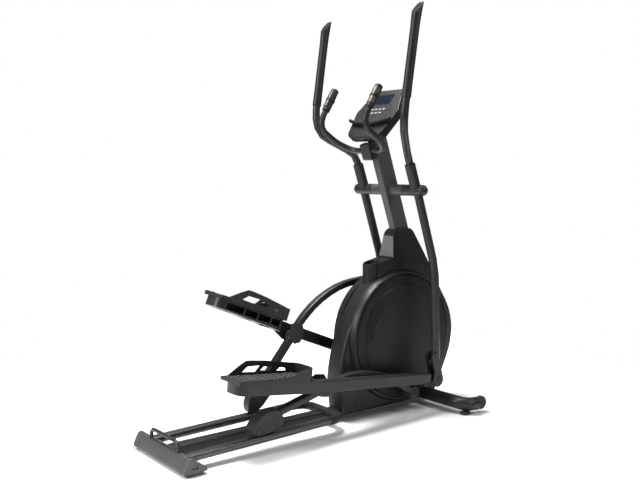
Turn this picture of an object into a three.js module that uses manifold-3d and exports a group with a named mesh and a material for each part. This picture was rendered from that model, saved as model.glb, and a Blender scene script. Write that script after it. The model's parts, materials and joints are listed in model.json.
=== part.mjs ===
// Elliptical trainer: front crank, curved roller links on twin rails, swinging arms.
// Millimetres. +X is the way the user faces, +Y is the user's left, +Z is up, the floor is Z = 0.
import * as THREE from 'three';
import { mergeVertices } from 'three/addons/utils/BufferGeometryUtils.js';
import Module from 'manifold-3d';

const wasm = await Module();
wasm.setup();

// ---------------------------------------------------------------- driving dimensions
const GAP = 0.3; // space left between two pieces that touch
const RUNNING_GAP = 0.4; // radial space of a pin in its bore

const ORIGIN_X = -392.66; // middle of the whole machine
const CRANK_X = 17;
const CRANK_Z = 331; // crank axis above the floor
const CRANK_THROW = 238;
const AXLE_X = -8; // swing arm axis
const AXLE_Z = 967;
const RAIL_SLOPE = THREE.MathUtils.degToRad(1.06); // the rails climb slightly towards the front
const RAIL_TOP = 76.5; // running surface, carried on to the crank's plane
const ROLLER_RADIUS = 25;
const LINK_LENGTH = 812; // roller axis to crank pin
const CLAMP_ALONG = 314; // pedal beam pivot on the link, along the link
const CLAMP_UP = 99; // and above its straight line
const BEAM_LENGTH = 603; // arm joint to the pivot on the link, along the beam
const BEAM_DROP = 25; // that pivot sits this far under the beam's middle line
const ARM_LENGTH = 828; // swing arm axis to the arm joint

const LINK_Y = 128; // middle planes of the moving pieces, one side
const LINK_HALF = 18;
const PIN_BOSS_INNER = 84; // the link's front boss reaches in towards the crank
const ARM_Y = 170;
const BEAM_HALF = 20;
const DISC_OUTER_Y = 76;
const DISC_RADIUS = 268;
const DISC_THICKNESS = 16;
const CRANK_AXLE_RADIUS = 12;
const PIN_RADIUS = 8;

const MAST_LEAN = THREE.MathUtils.degToRad(18.9); // the mast leans back towards the user
const MAST_LONG = 80;
const MAST_WIDE = 40;
const SIDES = 14; // sides of a round tube

// ---------------------------------------------------------------- materials
function paint(colour, roughness, metalness) {
  return new THREE.MeshStandardMaterial({ color: colour, roughness, metalness });
}

const framePaint = () => paint(0x2e2e2f, 0.5, 0.4);
const railPaint = () => paint(0x4a4a4b, 0.4, 0.6);
const footPaint = () => paint(0x565656, 0.5, 0.4);
const shellPlastic = () => paint(0x1f1f20, 0.55, 0.0);
const panelPlastic = () => paint(0x6c6c6c, 0.6, 0.0);
const softGrip = () => paint(0x151515, 0.75, 0.0);
const treadPlastic = () => paint(0x2a2825, 0.8, 0.0);
const bareSteel = () => paint(0xb5b2ac, 0.3, 1.0);
const rubber = () => paint(0x101010, 0.85, 0.0);
const keyPlastic = () => paint(0xb9bcbd, 0.4, 0.3);
const displayGlass = () => paint(0x10142b, 0.15, 0.0);

// ---------------------------------------------------------------- solid helpers
// Joins coincident corners, drops triangles without area and turns the faces outwards.
function weld(geometry) {
  const bare = geometry.index ? geometry.toNonIndexed() : geometry.clone();
  bare.deleteAttribute('normal');
  bare.deleteAttribute('uv');
  const merged = mergeVertices(bare, 1e-3);
  const corners = merged.index.array;
  const position = merged.attributes.position;
  const kept = [];
  const a = new THREE.Vector3();
  const b = new THREE.Vector3();
  const c = new THREE.Vector3();
  let volume = 0;
  for (let i = 0; i < corners.length; i += 3) {
    const [p, q, r] = [corners[i], corners[i + 1], corners[i + 2]];
    if (p === q || q === r || r === p) continue;
    kept.push(p, q, r);
    a.fromBufferAttribute(position, p);
    b.fromBufferAttribute(position, q);
    c.fromBufferAttribute(position, r);
    volume += a.dot(b.cross(c));
  }
  if (volume < 0) kept.reverse();
  merged.setIndex(kept);
  return merged;
}

function toSolid(geometry) {
  const closed = weld(geometry);
  const mesh = new wasm.Mesh({
    numProp: 3,
    vertProperties: new Float32Array(closed.attributes.position.array),
    triVerts: new Uint32Array(closed.index.array),
  });
  return new wasm.Manifold(mesh);
}

function toGeometry(solid) {
  const mesh = solid.getMesh();
  const geometry = new THREE.BufferGeometry();
  geometry.setAttribute('position', new THREE.BufferAttribute(new Float32Array(mesh.vertProperties), 3));
  geometry.setIndex(Array.from(mesh.triVerts));
  return geometry;
}

function join(...geometries) {
  return toGeometry(geometries.map(toSolid).reduce((sum, next) => sum.add(next)));
}

function cut(body, ...tools) {
  return toGeometry(tools.map(toSolid).reduce((rest, tool) => rest.subtract(tool), toSolid(body)));
}

function common(first, second) {
  return toGeometry(toSolid(first).intersect(toSolid(second)));
}

function mirrored(geometry) {
  return weld(geometry.clone().scale(1, -1, 1));
}

// ---------------------------------------------------------------- shape helpers
function polygon(points) {
  return new THREE.Shape(points.map(([x, y]) => new THREE.Vector2(x, y)));
}

function roundedRect(width, height, radius, cx = 0, cy = 0) {
  const [w, h] = [width / 2 - radius, height / 2 - radius];
  const shape = new THREE.Shape();
  shape.absarc(cx + w, cy - h, radius, -Math.PI / 2, 0);
  shape.absarc(cx + w, cy + h, radius, 0, Math.PI / 2);
  shape.absarc(cx - w, cy + h, radius, Math.PI / 2, Math.PI);
  shape.absarc(cx - w, cy - h, radius, Math.PI, Math.PI * 1.5);
  shape.closePath();
  return shape;
}

function ellipse(halfWidth, halfHeight) {
  const shape = new THREE.Shape();
  shape.absellipse(0, 0, halfWidth, halfHeight, 0, Math.PI * 2);
  return shape;
}

function extruded(shape, length, { bevel = 0, inset = 0, arcs = 4, bevelSteps = 2 } = {}) {
  return new THREE.ExtrudeGeometry(shape, {
    depth: length - 2 * bevel,
    bevelEnabled: bevel > 0 || inset > 0,
    bevelThickness: bevel,
    bevelSize: bevel,
    bevelOffset: -bevel - inset,
    bevelSegments: bevelSteps,
    curveSegments: arcs,
  }).translate(0, 0, bevel);
}

// A side view outline (x, z) made solid between two y planes.
function plate(outline, yFrom, yTo, options) {
  return extruded(outline, yTo - yFrom, options).rotateX(Math.PI / 2).translate(0, yTo, 0);
}

// A plan outline (x, y) made solid between two heights.
function slab(outline, zFrom, zTo, options) {
  return extruded(outline, zTo - zFrom, options).translate(0, 0, zFrom);
}

// A front view outline (y, z) made solid between two x planes.
function bar(outline, xFrom, xTo, options) {
  return extruded(outline, xTo - xFrom, options)
    .rotateX(Math.PI / 2).rotateZ(Math.PI / 2).translate(xFrom, 0, 0);
}

function block(xFrom, xTo, yFrom, yTo, zFrom, zTo) {
  return new THREE.BoxGeometry(xTo - xFrom, yTo - yFrom, zTo - zFrom)
    .translate((xFrom + xTo) / 2, (yFrom + yTo) / 2, (zFrom + zTo) / 2);
}

function rod(radius, yFrom, yTo, x = 0, z = 0, sides = 20) {
  return new THREE.CylinderGeometry(radius, radius, yTo - yFrom, sides)
    .translate(x, (yFrom + yTo) / 2, z);
}

// A turned piece about the Y axis, from a closed profile of (radius, y) pairs.
function turned(profile, x = 0, z = 0, sides = 24) {
  const points = [...profile, profile[0]].map(([r, y]) => new THREE.Vector2(r, y));
  return new THREE.LatheGeometry(points, sides).translate(x, 0, z);
}

// A path of straight runs joined by rounded corners.
function roundedPath(corners, bends) {
  const points = corners.map(([x, y, z]) => new THREE.Vector3(x, y, z));
  const path = new THREE.CurvePath();
  let start = points[0];
  for (let i = 1; i < points.length - 1; i += 1) {
    const before = points[i - 1].clone().sub(points[i]).normalize();
    const after = points[i + 1].clone().sub(points[i]).normalize();
    const enter = points[i].clone().addScaledVector(before, bends[i - 1]);
    const leave = points[i].clone().addScaledVector(after, bends[i - 1]);
    path.add(new THREE.LineCurve3(start, enter));
    path.add(new THREE.QuadraticBezierCurve3(enter, points[i], leave));
    start = leave;
  }
  path.add(new THREE.LineCurve3(start, points[points.length - 1]));
  return path;
}

function smoothPath(points) {
  return new THREE.CatmullRomCurve3(points.map(([x, y, z]) => new THREE.Vector3(x, y, z)), false, 'centripetal');
}

function tube(path, section, steps, arcs = SIDES / 2) {
  return new THREE.ExtrudeGeometry(section, { steps, extrudePath: path, curveSegments: arcs, bevelEnabled: false });
}

function circle(radius) {
  return ellipse(radius, radius);
}

// ---------------------------------------------------------------- assembly helpers
const machine = new THREE.Group();
machine.position.x = -ORIGIN_X;

function add(parent, name, geometry, material) {
  const mesh = new THREE.Mesh(weld(geometry), material);
  mesh.geometry.computeVertexNormals();
  mesh.name = name;
  parent.add(mesh);
  return mesh;
}

function pivotGroup(x, z, angle) {
  const group = new THREE.Group();
  group.position.set(x, 0, z);
  group.rotation.y = angle;
  machine.add(group);
  return group;
}

function sided(geometry, side) {
  return side === 'left' ? geometry : mirrored(geometry);
}

// ---------------------------------------------------------------- linkage at rest
function rotate(along, up, angle) {
  return [along * Math.cos(angle) - up * Math.sin(angle), along * Math.sin(angle) + up * Math.cos(angle)];
}

// Follows one side of the closed linkage from the crank to the swing arm.
function solveLinkage(crankAngle) {
  const pin = [CRANK_X + CRANK_THROW * Math.cos(crankAngle), CRANK_Z + CRANK_THROW * Math.sin(crankAngle)];
  let run = LINK_LENGTH;
  let rollerZ = 0;
  let rise = 0;
  for (let i = 0; i < 20; i += 1) {
    rollerZ = RAIL_TOP + (pin[0] - run) * Math.tan(RAIL_SLOPE) + ROLLER_RADIUS + GAP;
    rise = pin[1] - rollerZ;
    run = Math.sqrt(LINK_LENGTH ** 2 - rise ** 2);
  }
  const linkAngle = Math.atan2(rise, run);
  const offset = rotate(CLAMP_ALONG, CLAMP_UP, linkAngle);
  const clamp = [pin[0] - run + offset[0], rollerZ + offset[1]];
  const dx = clamp[0] - AXLE_X;
  const dz = clamp[1] - AXLE_Z;
  const distance = Math.hypot(dx, dz);
  const beamReach = Math.hypot(BEAM_LENGTH, BEAM_DROP);
  const middle = (ARM_LENGTH ** 2 - beamReach ** 2 + distance ** 2) / (2 * distance);
  const height = Math.sqrt(ARM_LENGTH ** 2 - middle ** 2);
  const joint = [
    AXLE_X + (middle * dx - height * dz) / distance,
    AXLE_Z + (middle * dz + height * dx) / distance,
  ];
  return {
    pin,
    roller: [pin[0] - run, rollerZ],
    linkAngle,
    clamp,
    joint,
    armAngle: Math.asin((joint[0] - AXLE_X) / ARM_LENGTH),
    beamAngle: Math.asin((clamp[1] - joint[1]) / beamReach) + Math.atan2(BEAM_DROP, BEAM_LENGTH),
  };
}

const linkage = {
  right: solveLinkage(-Math.PI / 2),
  left: solveLinkage(Math.PI / 2),
};

// ---------------------------------------------------------------- base
const BEAM_BASE_HALF = 28;
const BEAM_BASE_BOTTOM = 18;
const BEAM_BASE_TOP = 55;
const POST_HALF = 18;
const POST_X = 128;
const STABILIZER_X = 172;
const STABILIZER_Z = 47;
const STABILIZER_RADIUS = 28;
const WHEEL_X = 262; // transport wheel axis
const WHEEL_Z = 42;
const REAR_HALF = 165;
const REAR_CAP_HALF = 200;
const FLYWHEEL_X = 168;
const FLYWHEEL_Z = 390;
const BRAKE_PIVOT = [137, 525];
const YOKE_FRONT = -375;
const YOKE_BACK = -450;
const RAIL_REAR = -1092;
const RAIL_WIDE = 44;
const RAIL_DEEP = 26;

function rearOutline(grow = 0) {
  return polygon([
    [-1137 - grow, 10 - grow],
    [-1137 - grow, 20],
    [-1118 - grow, 58 + grow],
    [-1110, 63 + grow],
    [-1099, 62 + grow],
    [-1048 + grow, 24 + grow],
    [-1045 + grow, 10 - grow],
  ]);
}

function stabilizerPath() {
  return roundedPath([
    [238, -300, 42],
    [STABILIZER_X + 6, -300, STABILIZER_Z - 2],
    [STABILIZER_X, -235, STABILIZER_Z],
    [STABILIZER_X, 235, STABILIZER_Z],
    [STABILIZER_X + 6, 300, STABILIZER_Z - 2],
    [238, 300, 42],
  ], [34, 26, 26, 34]);
}

function mastOutline(grow = 0) {
  return roundedRect(MAST_LONG + 2 * grow, MAST_WIDE + 2 * grow, 6 + grow);
}

function toMastFrame(geometry) {
  return geometry.rotateY(-MAST_LEAN).translate(AXLE_X, 0, AXLE_Z);
}

function yokePath() {
  const z = 53;
  return roundedPath([
    [YOKE_BACK, -LINK_Y, z], [YOKE_FRONT, -LINK_Y, z], [YOKE_FRONT, LINK_Y, z], [YOKE_BACK, LINK_Y, z],
  ], [62, 62]);
}

function buildBaseFrame() {
  const beam = bar(roundedRect(2 * BEAM_BASE_HALF, BEAM_BASE_TOP - BEAM_BASE_BOTTOM, 8, 0,
    (BEAM_BASE_TOP + BEAM_BASE_BOTTOM) / 2), -1100, STABILIZER_X);
  const yoke = tube(yokePath(), roundedRect(28, 42, 9), 14, 1);
  const crankPost = block(CRANK_X - 26, CRANK_X + 26, -POST_HALF, POST_HALF, 40, CRANK_Z);
  const frontPost = block(POST_X - 30, POST_X + 30, -POST_HALF, POST_HALF, 40, 600);
  const brace = block(CRANK_X, POST_X, -POST_HALF + 2, POST_HALF - 2, CRANK_Z - 22, CRANK_Z + 22);
  const shelf = block(POST_X, FLYWHEEL_X + 20, -POST_HALF + 2, POST_HALF - 2, FLYWHEEL_Z - 20, FLYWHEEL_Z + 20);
  const bearing = rod(26, -46, 28, CRANK_X, CRANK_Z, 20);
  const brakePin = rod(5, -44, 0, BRAKE_PIVOT[0], BRAKE_PIVOT[1], 12);
  const body = join(beam, yoke, crankPost, frontPost, brace, shelf, bearing, brakePin);
  return cut(
    body,
    rod(CRANK_AXLE_RADIUS + RUNNING_GAP, -60, 60, CRANK_X, CRANK_Z, 20),
    rod(10 + RUNNING_GAP, -60, 60, FLYWHEEL_X, FLYWHEEL_Z, 20),
    rod(STABILIZER_RADIUS + GAP, -60, 60, STABILIZER_X, STABILIZER_Z, 24),
    plate(rearOutline(GAP), -REAR_HALF, REAR_HALF),
    toMastFrame(slab(mastOutline(GAP), -430 - GAP, 200, { arcs: 1 })),
  );
}

function railOutline() {
  const half = RAIL_WIDE / 2;
  return polygon([
    [-half + 7, -RAIL_DEEP], [half - 7, -RAIL_DEEP], [half - 2, -RAIL_DEEP + 3], [half, -RAIL_DEEP + 9],
    [half, -8], [half - 3, -2], [half - 8, 0], [half - 10, -2.5], [half - 13, -2.5], [half - 15, 0],
    [-half + 8, 0], [-half + 3, -2], [-half, -8], [-half, -RAIL_DEEP + 9], [-half + 2, -RAIL_DEEP + 3],
  ]);
}

function buildRail() {
  const rail = bar(railOutline(), RAIL_REAR, YOKE_BACK - 1).rotateY(-RAIL_SLOPE).translate(0, LINK_Y, RAIL_TOP);
  return cut(rail, plate(rearOutline(GAP), -REAR_HALF, REAR_HALF));
}

function buildRearCap() {
  const cap = plate(rearOutline(), REAR_HALF + GAP, REAR_CAP_HALF, { bevel: 2, bevelSteps: 1 });
  const foot = block(-1126, -1062, REAR_HALF + 5, REAR_CAP_HALF - 4, 0, 14);
  const recess = plate(roundedRect(26, 16, 4, -1096, 34), REAR_CAP_HALF - 4, REAR_CAP_HALF + 1, { arcs: 2 });
  return cut(join(cap, foot), recess);
}

function buildCarryHandle() {
  const path = roundedPath([
    [-1107, -106, 63.6],
    [-1107, -106, 97],
    [-1107, 106, 97],
    [-1107, 106, 63.6],
  ], [26, 26]);
  return tube(path, circle(7.5), 14, 4);
}

function buildFrontStabilizer() {
  const body = tube(stabilizerPath(), circle(STABILIZER_RADIUS), 18, 7);
  const pieces = [body];
  for (const side of [-1, 1]) {
    const ear = plate(roundedRect(44, 20, 9, WHEEL_X - 16, WHEEL_Z), 280, 288);
    const pin = rod(5, 284, 313, WHEEL_X, WHEEL_Z, 12);
    pieces.push(...[ear, pin].map((piece) => (side > 0 ? piece : mirrored(piece))));
  }
  const wheelRoom = [-1, 1].map((side) => rod(33, side * 302 - 13.5, side * 302 + 13.5, WHEEL_X, WHEEL_Z, 16));
  const bare = cut(body, ...wheelRoom);
  return join(bare, ...pieces.slice(1));
}

function buildTransportWheel() {
  const bore = 5 + RUNNING_GAP;
  return turned([
    [bore, 289], [13, 289], [13, 292], [22, 292], [22, 289], [27, 289], [29, 292],
    [29, 308], [27, 311], [bore, 311],
  ], WHEEL_X, WHEEL_Z, 16);
}

function buildFrontFoot() {
  return slab(roundedRect(40, 36, 10, 183, 285), 0, 13.5, { bevel: 2, bevelSteps: 1, arcs: 1 });
}

add(machine, 'base_frame', buildBaseFrame(), framePaint());
add(machine, 'rear_stabilizer', plate(rearOutline(), -REAR_HALF, REAR_HALF), footPaint());
add(machine, 'carry_handle', buildCarryHandle(), framePaint());
add(machine, 'front_stabilizer', buildFrontStabilizer(), framePaint());
for (const side of ['right', 'left']) {
  add(machine, `rail_${side}`, sided(buildRail(), side), railPaint());
  add(machine, `rear_cap_${side}`, sided(buildRearCap(), side), footPaint());
  add(machine, `front_foot_${side}`, sided(buildFrontFoot(), side), rubber());
  add(machine, `transport_wheel_${side}`, sided(buildTransportWheel(), side), rubber());
}

// ---------------------------------------------------------------- mast
const AXLE_RADIUS = 12;
const CROSS_TUBE_RADIUS = 24;
const CROSS_TUBE_END = 97;
const AXLE_END = 196;
const CONSOLE_TILT = THREE.MathUtils.degToRad(37.9); // face against the vertical
const CONSOLE_X = -78;
const CONSOLE_Z = 1299;
const CONSOLE_DEPTH = 34;

function toConsoleFrame(geometry) {
  return geometry.rotateY(CONSOLE_TILT - Math.PI / 2).translate(CONSOLE_X, 0, CONSOLE_Z);
}

function buildMast() {
  const post = toMastFrame(slab(mastOutline(), -430, 400, { arcs: 1 }));
  const cross = rod(CROSS_TUBE_RADIUS, -CROSS_TUBE_END, CROSS_TUBE_END, AXLE_X, AXLE_Z, 18);
  const axle = rod(AXLE_RADIUS, -AXLE_END, AXLE_END, AXLE_X, AXLE_Z, 16);
  const above = toConsoleFrame(block(-300, 300, -60, 60, -CONSOLE_DEPTH - GAP, 300));
  return join(cut(post, above), cross, axle);
}

add(machine, 'mast', buildMast(), framePaint());

// ---------------------------------------------------------------- fixed handlebar
const BAR_RADIUS = 13;
const BAR_LOCAL_X = -62; // in the mast's frame
const BAR_LOCAL_Z = 197;
const GRIP_BASE = [-252, 140, 1302];
const GRIP_DIRECTION = new THREE.Vector3(41, 0, 69).normalize();
const GRIP_LENGTH = 106;

const barCentre = new THREE.Vector3(BAR_LOCAL_X, 0, BAR_LOCAL_Z)
  .applyAxisAngle(new THREE.Vector3(0, 1, 0), -MAST_LEAN)
  .add(new THREE.Vector3(AXLE_X, 0, AXLE_Z));

function barPath() {
  const tip = new THREE.Vector3(...GRIP_BASE).addScaledVector(GRIP_DIRECTION, GRIP_LENGTH - 5);
  const half = [
    [barCentre.x, 92, barCentre.z],
    [-185, 142, 1166],
    [-275, 141, 1225],
    [-270, 140, 1272],
  ];
  const left = [...half, [tip.x, tip.y, tip.z]];
  const right = left.map(([x, y, z]) => [x, -y, z]).reverse();
  return roundedPath([...right, ...left], [14, 30, 34, 36, 36, 34, 30, 14]);
}

function buildClamp() {
  const outline = roundedRect(41, 72, 9, -61, BAR_LOCAL_Z - 3);
  const body = toMastFrame(plate(outline, -30, 30, { bevel: 3, bevelSteps: 1, arcs: 2 }));
  return cut(body, rod(BAR_RADIUS + 0.9, -40, 40, barCentre.x, barCentre.z, 14));
}

// Turns a piece made along +Y so that it lies along the grip.
function toGripFrame(geometry) {
  const turn = new THREE.Quaternion().setFromUnitVectors(new THREE.Vector3(0, 1, 0), GRIP_DIRECTION);
  return geometry.applyQuaternion(turn).translate(...GRIP_BASE);
}

function buildFixedGrip() {
  const end = GRIP_LENGTH;
  const bore = BAR_RADIUS + 0.6;
  return toGripFrame(turned([
    [bore, 0], [16, 0], [17, 3], [17, end - 4], [14, end], [0, end + 2], [0, end - 4], [bore, end - 4],
  ], 0, 0, 14));
}

function buildPulsePlate() {
  const [inner, outer, half] = [17 + GAP, 18.6, THREE.MathUtils.degToRad(62)];
  const outline = new THREE.Shape();
  outline.absarc(0, 0, outer, Math.PI - half, Math.PI + half);
  outline.absarc(0, 0, inner, Math.PI + half, Math.PI - half, true);
  outline.closePath();
  return toGripFrame(extruded(outline, 72, { arcs: 6 }).rotateX(-Math.PI / 2).translate(0, 18, 0));
}

add(machine, 'fixed_handlebar', tube(barPath(), circle(BAR_RADIUS), 36, 5), framePaint());
add(machine, 'handlebar_clamp', buildClamp(), framePaint());
for (const side of ['right', 'left']) {
  add(machine, `fixed_grip_${side}`, sided(buildFixedGrip(), side), softGrip());
  add(machine, `pulse_plate_${side}`, sided(buildPulsePlate(), side), bareSteel());
}

// ---------------------------------------------------------------- console
const BUTTON_TRAVEL = 1.5;
const SCREEN = { x: 62, wide: 46, long: 100 };

function consoleOutline() {
  const shape = new THREE.Shape();
  shape.moveTo(-140, -70);
  shape.quadraticCurveTo(-140, -98, -118, -106);
  shape.lineTo(-6, -130);
  shape.quadraticCurveTo(8, -131, 18, -122);
  shape.lineTo(108, -90);
  shape.quadraticCurveTo(117, -84, 117, -72);
  shape.lineTo(117, 72);
  shape.quadraticCurveTo(117, 84, 108, 90);
  shape.lineTo(18, 122);
  shape.quadraticCurveTo(8, 131, -6, 130);
  shape.lineTo(-118, 106);
  shape.quadraticCurveTo(-140, 98, -140, 70);
  shape.closePath();
  return shape;
}

function keyPlaces() {
  const places = [];
  for (let i = 0; i < 4; i += 1) places.push([8, 36 - 24 * i]);
  for (let i = 0; i < 3; i += 1) places.push([-12, 24 - 24 * i]);
  return places;
}

const consoleGroup = pivotGroup(CONSOLE_X, CONSOLE_Z, CONSOLE_TILT - Math.PI / 2);

function buildConsoleShell() {
  const outer = slab(consoleOutline(), -CONSOLE_DEPTH, -GAP, { bevel: 9, arcs: 2 });
  const flat = slab(consoleOutline(), -20, -GAP, { arcs: 2 });
  const hollow = slab(consoleOutline(), -CONSOLE_DEPTH + 4, 10, { bevel: 8, inset: 4, arcs: 2, bevelSteps: 1 });
  return cut(join(outer, flat), hollow);
}

function buildConsoleFace() {
  const face = slab(consoleOutline(), 0, 6, { bevel: 1.5, bevelSteps: 1, arcs: 2 });
  const { x, wide, long } = SCREEN;
  const holes = keyPlaces().map(([kx, ky]) => block(kx - 5.6, kx + 5.6, ky - 8.6, ky + 8.6, -1, 7));
  return cut(face, slab(roundedRect(wide + 1, long + 1, 4, x, 0), 2, 7, { arcs: 2 }), ...holes);
}

function buildConsoleShelf() {
  const outline = new THREE.Shape();
  outline.moveTo(-62, -128);
  outline.quadraticCurveTo(-84, -70, -84, 0);
  outline.quadraticCurveTo(-84, 70, -62, 128);
  outline.lineTo(-50, 126);
  outline.quadraticCurveTo(-71, 70, -71, 0);
  outline.quadraticCurveTo(-71, -70, -50, -126);
  outline.closePath();
  return slab(outline, 6 + GAP, 26, { bevel: 3, bevelSteps: 1, arcs: 5 });
}

function buildScreen() {
  return slab(roundedRect(SCREEN.wide, SCREEN.long, 4, SCREEN.x, 0), 2 + GAP, 5.4, { arcs: 2 });
}

function buildKey([x, y]) {
  return slab(roundedRect(10, 16, 2.6, x, y), 0.5 + BUTTON_TRAVEL, 8, { bevel: 1, bevelSteps: 1, arcs: 1 });
}

add(consoleGroup, 'console_shell', buildConsoleShell(), shellPlastic());
add(consoleGroup, 'console_face', buildConsoleFace(), shellPlastic());
add(consoleGroup, 'lcd_screen', buildScreen(), displayGlass());
add(consoleGroup, 'console_shelf', buildConsoleShelf(), shellPlastic());
keyPlaces().forEach((place, index) => add(consoleGroup, `key_${index + 1}`, buildKey(place), keyPlastic()));

// ---------------------------------------------------------------- housing
const SHELL = 3.5; // wall
const MAIN_HALF = 50;
const DRUM_FACE_Y = 70;
const CUP_X = -110;
const CUP_RADIUS = 38;
const CUP_TOP = 654;
const CUP_TILT = THREE.MathUtils.degToRad(13); // the rim and the ledge ahead of it slope down to the rear
const MOUTH_RADIUS = 33;

function mainOutline() {
  const shape = new THREE.Shape();
  const rear = [
    [-318, 110], [-321, 190], [-306, 274], [-288, 340], [-262, 410], [-228, 472], [-170, 545], [-90, 605], [0, 640],
  ];
  const front = [
    [90, 652], [170, 640], [222, 597], [275, 511], [312, 455], [340, 395], [352, 318], [340, 240], [309, 170],
    [270, 96],
  ];
  shape.moveTo(-306, 26);
  shape.splineThru([...rear, ...front].map(([x, z]) => new THREE.Vector2(x, z)));
  shape.lineTo(232, 26);
  shape.closePath();
  return shape;
}

function upright(radius, zFrom, zTo, sides) {
  return new THREE.CylinderGeometry(radius, radius, zTo - zFrom, sides)
    .rotateX(Math.PI / 2).translate(CUP_X, 0, (zFrom + zTo) / 2);
}

// Turns a piece made about the origin onto the sloping rim of the cup.
function tiltedAtRim(geometry) {
  return geometry.rotateY(-CUP_TILT).translate(CUP_X, 0, CUP_TOP);
}

function ledgeZ(x) {
  return CUP_TOP + (x - CUP_X) * Math.tan(CUP_TILT);
}

function bootOutline() {
  return polygon([
    [CUP_X, 540], [CUP_X, ledgeZ(CUP_X)], [-22, ledgeZ(-22)], [-9, 765], [-2, 784], [10, 796], [92, 796],
    [104, 788], [196, 632], [222, 590], [150, 540],
  ]);
}

// The part above the body narrows from the body's width to the mast's.
function bootTaper(inset) {
  const [wide, narrow] = [MAIN_HALF - 2 - inset, 30 - inset];
  return bar(polygon([
    [-60, 560], [wide, 560], [wide, 640], [narrow + 4, 776], [narrow - 6, 806 - inset], [-60, 806 - inset],
  ]), -200, 260);
}

function buildHousing() {
  const half = block(-500, 500, GAP / 2, 200, -100, 1000);
  const main = plate(mainOutline(), -60, MAIN_HALF, { bevel: 14, arcs: 2, bevelSteps: 2 });
  const boot = common(plate(bootOutline(), -60, 60), bootTaper(0));
  const aboveRim = tiltedAtRim(block(-200, 60, -100, 100, 0, 120));
  const cup = cut(upright(CUP_RADIUS, 540, CUP_TOP + 20, 24), aboveRim);
  const drum = turned([[0, 30], [288, 30], [288, 54], [280, DRUM_FACE_Y], [0, DRUM_FACE_Y]], CRANK_X, CRANK_Z, 44);
  const outer = common(join(main, boot, cup, drum), half);
  const mainRoom = plate(mainOutline(), -60, MAIN_HALF - SHELL, {
    bevel: 10, inset: SHELL, arcs: 1, bevelSteps: 1,
  });
  const bootRoom = common(plate(bootOutline(), -60, 60, { inset: SHELL }), bootTaper(SHELL));
  const cupRoom = upright(CUP_RADIUS - SHELL, 540, CUP_TOP - 14, 16);
  const drumRoom = turned([[0, 20], [274, 20], [274, 55], [0, 55]], CRANK_X, CRANK_Z, 24);
  const mouth = upright(MOUTH_RADIUS, CUP_TOP - 40, CUP_TOP + 40, 24);
  const discRoom = rod(DISC_RADIUS + 3.5, 58.5, 120, CRANK_X, CRANK_Z, 44);
  const bossRoom = rod(38, 40, 120, CRANK_X, CRANK_Z, 16);
  return cut(
    outer, mainRoom, bootRoom, cupRoom, drumRoom, mouth, discRoom, bossRoom,
    toMastFrame(slab(mastOutline(1), -500, 200, { arcs: 1 })),
    block(-420, 320, -1, BEAM_BASE_HALF + 1, 15, BEAM_BASE_TOP + 1),
    rod(STABILIZER_RADIUS + 1, -1, 200, STABILIZER_X, STABILIZER_Z, 24),
  );
}

// A cup with a straight wall, closed below, and a lip that follows the sloping rim.
function buildBottleHolder() {
  const bottom = CUP_TOP - 90;
  const radius = MOUTH_RADIUS - 0.5;
  const lip = tiltedAtRim(slab(ellipse(36.5 / Math.cos(CUP_TILT), 36.5), GAP, 3.5, { arcs: 12 }));
  const wall = cut(upright(radius, bottom, CUP_TOP + 20, 24), tiltedAtRim(block(-100, 100, -100, 100, 2, 60)));
  return cut(join(wall, lip), upright(radius - 2.5, bottom + 4, CUP_TOP + 40, 24));
}

function buildMastCover() {
  const [bottom, top] = [ledgeZ(-24) + 1.5, 766];
  const back = (z) => -22 + (z - ledgeZ(-22)) * 13 / (765 - ledgeZ(-22)) - GAP;
  const side = plate(polygon([
    [back(bottom), bottom], [back(top), top], [back(top) - 4, top - 1], [back(bottom) - 4, bottom],
  ]), -60, 60);
  const front = bar(polygon([
    [-47, bottom - 5], [47, bottom - 5], [31, top - 6], [26, top + 5], [-26, top + 5], [-31, top - 6],
  ]), -60, 40);
  return common(side, front);
}

const housingHalf = buildHousing();
add(machine, 'housing_right', sided(housingHalf, 'right'), shellPlastic());
add(machine, 'housing_left', housingHalf, shellPlastic());
add(machine, 'bottle_holder', buildBottleHolder(), shellPlastic());
add(machine, 'mast_cover', buildMastCover(), panelPlastic());

// ---------------------------------------------------------------- drive
const PULLEY_RADIUS = 130;
const SMALL_PULLEY_RADIUS = 24;
const BELT_FROM = 30;
const BELT_TO = 42;
const FLYWHEEL_RADIUS = 118;

const crankGroup = pivotGroup(CRANK_X, CRANK_Z, 0);

function buildDisc(direction) {
  const face = DISC_OUTER_Y;
  const back = face - DISC_THICKNESS;
  const disc = turned([
    [0, 70], [CRANK_AXLE_RADIUS + GAP, 70], [CRANK_AXLE_RADIUS + GAP, 51], [34, 51], [34, back],
    [DISC_RADIUS, back], [DISC_RADIUS, face - 6], [DISC_RADIUS - 7, face - 2.5],
    [DISC_RADIUS - 40, face - 2.5], [DISC_RADIUS - 44, face], [0, face],
  ], 0, 0, 44);
  return join(disc, rod(14, face - 4, PIN_BOSS_INNER - 3, 0, direction * CRANK_THROW, 16));
}

function buildBelt() {
  const thickness = 3;
  const distance = Math.hypot(FLYWHEEL_X - CRANK_X, FLYWHEEL_Z - CRANK_Z);
  const heading = Math.atan2(FLYWHEEL_Z - CRANK_Z, FLYWHEEL_X - CRANK_X);
  const spread = Math.acos((PULLEY_RADIUS - SMALL_PULLEY_RADIUS) / distance);
  const loop = (grow, path) => {
    path.absarc(0, 0, PULLEY_RADIUS + grow, spread, 2 * Math.PI - spread);
    path.absarc(distance, 0, SMALL_PULLEY_RADIUS + grow, -spread, spread);
    path.closePath();
    return path;
  };
  const outline = loop(1 + thickness, new THREE.Shape());
  outline.holes.push(loop(1, new THREE.Path()));
  return extruded(outline, BELT_TO - BELT_FROM - 4, { arcs: 12 })
    .rotateZ(heading).rotateX(Math.PI / 2).translate(CRANK_X, BELT_TO - 2, CRANK_Z);
}

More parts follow.
